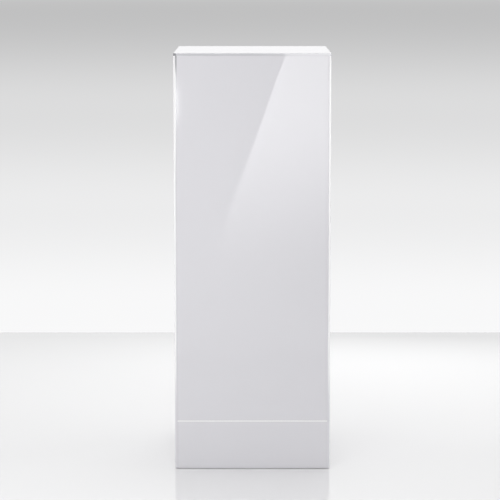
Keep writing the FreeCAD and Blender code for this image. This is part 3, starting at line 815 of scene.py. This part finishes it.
class PLINTH_OT_screws(bpy.types.Operator):
    """Makes the countersunk wood screws of the board and the deck."""

    bl_idname = "plinth.screws"
    bl_label = "Wood screws"

    def execute(self, context):
        finish, sizes = context.scene.plinth_finish, context.scene.plinth_hardware
        zinc = plated("zinc_plated_screws", finish, finish.zinc, finish.zinc_screws)
        low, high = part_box("corner_block_rear_right")
        axis = (low + high) / 2
        places = four_places(axis[0], axis[1])
        for name, node, up in (("screws_board", "board_screws", 1), ("screws_deck", "deck_screws", -1)):
            low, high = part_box(node)
            points, quads, fans = self.screw(sizes, high[0] - axis[0], high[2] - low[2])
            face = low[2] if up > 0 else high[2]
            points = points * (1, up, up) + (0.0, 0.0, face)
            add_piece(name, (points, quads, fans), places, "base", node, zinc,
                      (sizes.screw_radius, sizes.screw_depth, low[2]))
        return {"FINISHED"}

    def screw(self, sizes, head, reach):
        """Screw drawn head down from height nought: recessed face, cone, thread and point.

        The face rises into the head by the recess depth where the distance across an arm of a cross is under
        half its width and the distance along it under its reach, both with sloping sides.
        """
        out = FACE_RINGS[:, None] * head
        cosine, sine = np.abs(np.cos(turns())), np.abs(np.sin(turns()))
        along = out * np.maximum(cosine, sine)
        across = out * np.minimum(cosine, sine)
        inside = np.clip((sizes.recess_half - across) / sizes.recess_side + 0.5, 0.0, 1.0)
        inside = inside * np.clip((sizes.recess_reach - along) / sizes.recess_end, 0.0, 1.0)
        sunk = sizes.recess_depth * inside * (1 - sizes.recess_taper * along / sizes.recess_reach)
        crest, land = sizes.screw_radius, sizes.screw_land
        neck = head - crest + land
        point = reach - sizes.screw_point
        return turned_surface([
            (np.repeat(out, COLUMNS, axis=1), sunk),
            plain_rows([(head, land), (crest, neck)]),
            thread_rows(neck + land, point, crest, sizes.screw_depth, sizes.screw_pitch),
            plain_rows([(crest * WAIST_RADIUS, point + sizes.screw_point * WAIST_HEIGHT)]),
        ], (sizes.recess_depth, reach))


class PLINTH_OT_feet(bpy.types.Operator):
    """Makes the studs and pads of the levelling feet and finishes their inserts."""

    bl_idname = "plinth.feet"
    bl_label = "Levelling feet"

    def execute(self, context):
        finish, sizes = context.scene.plinth_finish, context.scene.plinth_hardware
        give(plated("passivated_inserts", finish, finish.passivate, finish.passivate_bright), "foot_inserts")
        zinc = plated("zinc_plated_studs", finish, finish.zinc, finish.zinc_studs)
        nylon = moulded_nylon(finish)
        collar_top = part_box("foot_inserts")[0][2]
        for corner in CORNERS:
            stud, pad = f"foot_stud_{corner}", f"foot_pad_{corner}"
            low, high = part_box(pad)
            x, y, _ = (low + high) / 2
            rim, top = (high[0] - low[0]) / 2, high[2]
            add_piece(f"stud_threaded_{corner}", self.stud(sizes, stud, top, collar_top), [(x, y, 0.0)],
                      f"stud_{corner}", stud, zinc,
                      (sizes.shank_radius, sizes.stud_depth, collar_top))
            add_piece(f"pad_moulded_{corner}", self.pad(sizes, rim, top), [(x, y, 0.0)],
                      f"pad_{corner}", pad, nylon)
        return {"FINISHED"}

    def stud(self, sizes, node, pad_top, collar_top):
        """Stud: swivel head, neck, bevelled hexagon collar, thread and eased tip, from the floor up."""
        low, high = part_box(node)
        head_top = low[2] + sizes.swivel_height
        collar_low = pad_top + sizes.collar_gap
        return turned_surface([
            plain_rows([
                (sizes.swivel_radius - sizes.edge_round, low[2]),
                (sizes.swivel_radius, low[2] + sizes.edge_round),
                (sizes.swivel_radius, head_top),
                (sizes.neck_radius, head_top),
                (sizes.neck_radius, collar_low),
            ]),
            hexagon_rows(high[1] - low[1], collar_low, collar_top),
            *shank_rows(sizes, collar_top, high[2]),
        ], (low[2], high[2]))

    def pad(self, sizes, rim, top):
        """Pad: half section from the floor's middle round the rim and cone, then down into the socket."""
        soft = sizes.pad_round
        slope = math.degrees(math.atan2(top - sizes.pad_rim, rim - sizes.pad_flat))
        return turned_surface([plain_rows([
            *arc_pairs((rim - soft, soft), soft, -90, 0),
            *arc_pairs((rim - soft, sizes.pad_rim - soft * PAD_SET), soft, 0, 90 - slope, 4),
            *arc_pairs((sizes.pad_flat - soft * PAD_SET, top - soft), soft, 90 - slope, 90, 4),
            (sizes.pad_mouth, top),
            (sizes.pad_mouth, sizes.pad_ceiling),
            (sizes.pad_socket, sizes.pad_ceiling),
            (sizes.pad_socket, sizes.pad_floor),
        ])], (0.0, sizes.pad_floor))


class PLINTH_OT_stage(bpy.types.Operator):
    """Sets the camera, the floor, the backdrop, the lamps and the cards."""

    bl_idname = "plinth.stage"
    bl_label = "Studio stage"

    def execute(self, context):
        stage = context.scene.plinth_stage
        context.scene.view_settings.view_transform = "Standard"
        context.scene.camera = self.camera(stage)
        context.scene.world = self.backdrop(stage)
        self.floor(stage)
        for name, (place, aim, size) in SOFTBOXES.items():
            self.softbox(f"softbox_{name}", getattr(stage, f"{name}_watts"), place, aim, size)
        self.cards(stage)
        return {"FINISHED"}

    def camera(self, stage):
        """Camera in front, level from side to side."""
        lens = bpy.data.cameras.new("camera")
        lens.lens = stage.lens
        lens.sensor_width = SENSOR_WIDTH
        camera = add_object("camera", lens)
        camera.location = stage.camera_place
        camera.rotation_euler = (math.pi / 2 - stage.camera_drop, 0.0, 0.0)
        return camera

    def backdrop(self, stage):
        """World: cameras and mirrors see a backdrop that pales downwards, other rays see even light."""
        world = bpy.data.worlds.new("backdrop")
        world.use_nodes = True
        nodes = Nodes(world.node_tree)
        way = nodes.node("ShaderNodeTexCoord").outputs["Generated"]
        fall = nodes.node(
            "ShaderNodeMapRange", Value=nodes.axis(way, "Z"), From_Min=BACKDROP_LOW, From_Max=BACKDROP_HIGH
        )
        ramp = nodes.node("ShaderNodeValToRGB", Fac=fall.outputs["Result"])
        ramp.color_ramp.interpolation = "EASE"
        places = [(height - BACKDROP_LOW) / (BACKDROP_HIGH - BACKDROP_LOW) for height, _ in BACKDROP]
        for place in places[1:-1]:
            ramp.color_ramp.elements.new(place)
        for stop, place, (_, level) in zip(ramp.color_ramp.elements, places, BACKDROP):
            stop.position = place
            stop.color = (level, level, level * BACKDROP_BLUE, 1.0)
        seen = nodes.tree.nodes["Background"]
        nodes.plug(seen.inputs["Color"], ramp.outputs["Color"])
        even = nodes.node("ShaderNodeBackground", Color=(1.0, 1.0, 1.0), Strength=stage.ambient)
        path = nodes.node("ShaderNodeLightPath").outputs
        direct = nodes.number("MAXIMUM", path["Is Camera Ray"], path["Is Glossy Ray"])
        direct = nodes.number("MAXIMUM", direct, path["Is Transmission Ray"])
        choose = nodes.node("ShaderNodeMixShader", Fac=direct)
        nodes.plug(choose.inputs[1], even.outputs["Background"])
        nodes.plug(choose.inputs[2], seen.outputs["Background"])
        nodes.plug(nodes.tree.nodes["World Output"].inputs["Surface"], choose.outputs["Shader"])
        return world

    def floor(self, stage):
        """Square floor: a corner is its centre plus the bend times cosine and sine over a quarter turn."""
        graph = Graph("studio_floor")
        cloud = graph.span(graph.noise(1.5), (0.3, 0.7), to=(0.0, 0.03))
        material = graph.finish(
            Base_Color=graph.mix(cloud, stage.floor, stage.floor_cloud),
            Roughness=stage.floor_gloss,
            IOR=FLOOR_IOR,
        )
        quarter = np.linspace(0.0, math.pi / 2, FLOOR_STEPS)
        turn = (quarter[None, :] + np.arange(4)[:, None] * math.pi / 2).ravel()
        corners = (stage.floor_half - stage.floor_bend) * np.array(((1, 1), (-1, 1), (-1, -1), (1, -1)))
        outline = np.repeat(corners, FLOOR_STEPS, axis=0)
        outline = outline + stage.floor_bend * np.column_stack((np.cos(turn), np.sin(turn)))
        self.sheet(material, np.insert(outline, 2, 0.0, axis=1))

    def softbox(self, name, watts, place, aim, size):
        """Rectangular lamp at a place, turned to an aim. Mirrors show the backdrop in its stead."""
        lamp = bpy.data.lights.new(name, "AREA")
        lamp.shape = "RECTANGLE"
        lamp.size, lamp.size_y = size
        lamp.energy = watts
        holder = add_object(name, lamp)
        holder.location = place
        x, y, z = np.subtract(aim, place)
        rise, heading = math.atan2(z, math.hypot(x, y)), math.atan2(y, x)
        holder.rotation_euler = (math.pi / 2 + rise, 0.0, heading - math.pi / 2)
        holder.visible_camera = False
        holder.visible_glossy = False

    def cards(self, stage):
        """Cards in front that show only in mirrors: a slanting one, and a small one by the left edge."""
        eye = np.array(stage.camera_place)[[0, 2]]
        reach = 1 + stage.card_distance / (FRONT - stage.camera_place[1])

        def on_card(points):
            """Where the camera sees points of the front, carried on to the card's mirror image."""
            return (np.array(points) - eye) * reach + eye

        graph = Graph("streak_card")
        fade = graph.span(graph.at("Z"), stage.streak_rise, to=(0.0, stage.streak_light))
        self.card(stage, graph, on_card(STREAK), fade)
        graph = Graph("glint_card")
        across, height = on_card([(across, stage.glint_height) for across in stage.glint_across]).T
        beside = graph.span(graph.at("X"), across, to=(stage.glint_light, 0.0))
        off = graph.absolute(graph.minus(graph.at("Z"), height[0]))
        level = graph.span(off, stage.glint_fade, to=(1.0, 0.0))
        self.card(stage, graph, on_card(GLINT), graph.product(beside, level))

    def card(self, stage, graph, outline, light):
        """One flat card that adds its light to what lies behind it."""
        both = graph.node("ShaderNodeAddShader")
        graph.plug(both.inputs[0], graph.node("ShaderNodeEmission", Strength=light).outputs["Emission"])
        graph.plug(both.inputs[1], graph.node("ShaderNodeBsdfTransparent").outputs["BSDF"])
        graph.plug(graph.tree.nodes["Material Output"].inputs["Surface"], both.outputs["Shader"])
        points = np.insert(outline, 1, FRONT - stage.card_distance, axis=1)
        card = self.sheet(graph.material, points)
        for kind in ("camera", "diffuse", "transmission", "volume_scatter", "shadow"):
            setattr(card, f"visible_{kind}", False)

    def sheet(self, material, points):
        """One flat face through the points, named for its material."""
        sheet = add_mesh(material.name, points, [list(range(len(points)))], material)
        return sheet


OPERATORS = (
    PLINTH_OT_panels, PLINTH_OT_inner_acrylic, PLINTH_OT_timber, PLINTH_OT_ballast, PLINTH_OT_screws,
    PLINTH_OT_feet, PLINTH_OT_stage,
)
GROUPS = {
    "plinth_finish": PlinthFinish, "plinth_edges": PlinthEdges, "plinth_hardware": PlinthHardware,
    "plinth_stage": PlinthStage,
}


class PLINTH_PT_sidebar(bpy.types.Panel):
    """Lists the plinth's operators and settings."""

    bl_idname = "PLINTH_PT_sidebar"
    bl_label = "Plinth"
    bl_space_type = "VIEW_3D"
    bl_region_type = "UI"
    bl_category = "Plinth"

    def draw(self, context):
        for operator in OPERATORS:
            self.layout.operator(operator.bl_idname)
        for group in GROUPS:
            settings = getattr(context.scene, group)
            box = self.layout.box()
            for name in settings.__annotations__:
                box.prop(settings, name)


CLASSES = (*GROUPS.values(), *OPERATORS, PLINTH_PT_sidebar)


def register():
    for kind in CLASSES:
        bpy.utils.register_class(kind)
    for name, group in GROUPS.items():
        setattr(bpy.types.Scene, name, PointerProperty(type=group))


def unregister():
    for name in GROUPS:
        delattr(bpy.types.Scene, name)
    for kind in reversed(CLASSES):
        bpy.utils.unregister_class(kind)


def main():
    register()
    bpy.ops.plinth.panels()
    bpy.ops.plinth.inner_acrylic()
    bpy.ops.plinth.timber()
    bpy.ops.plinth.ballast()
    bpy.ops.plinth.screws()
    bpy.ops.plinth.feet()
    bpy.ops.plinth.stage()


if __name__ == "__main__":
    main()
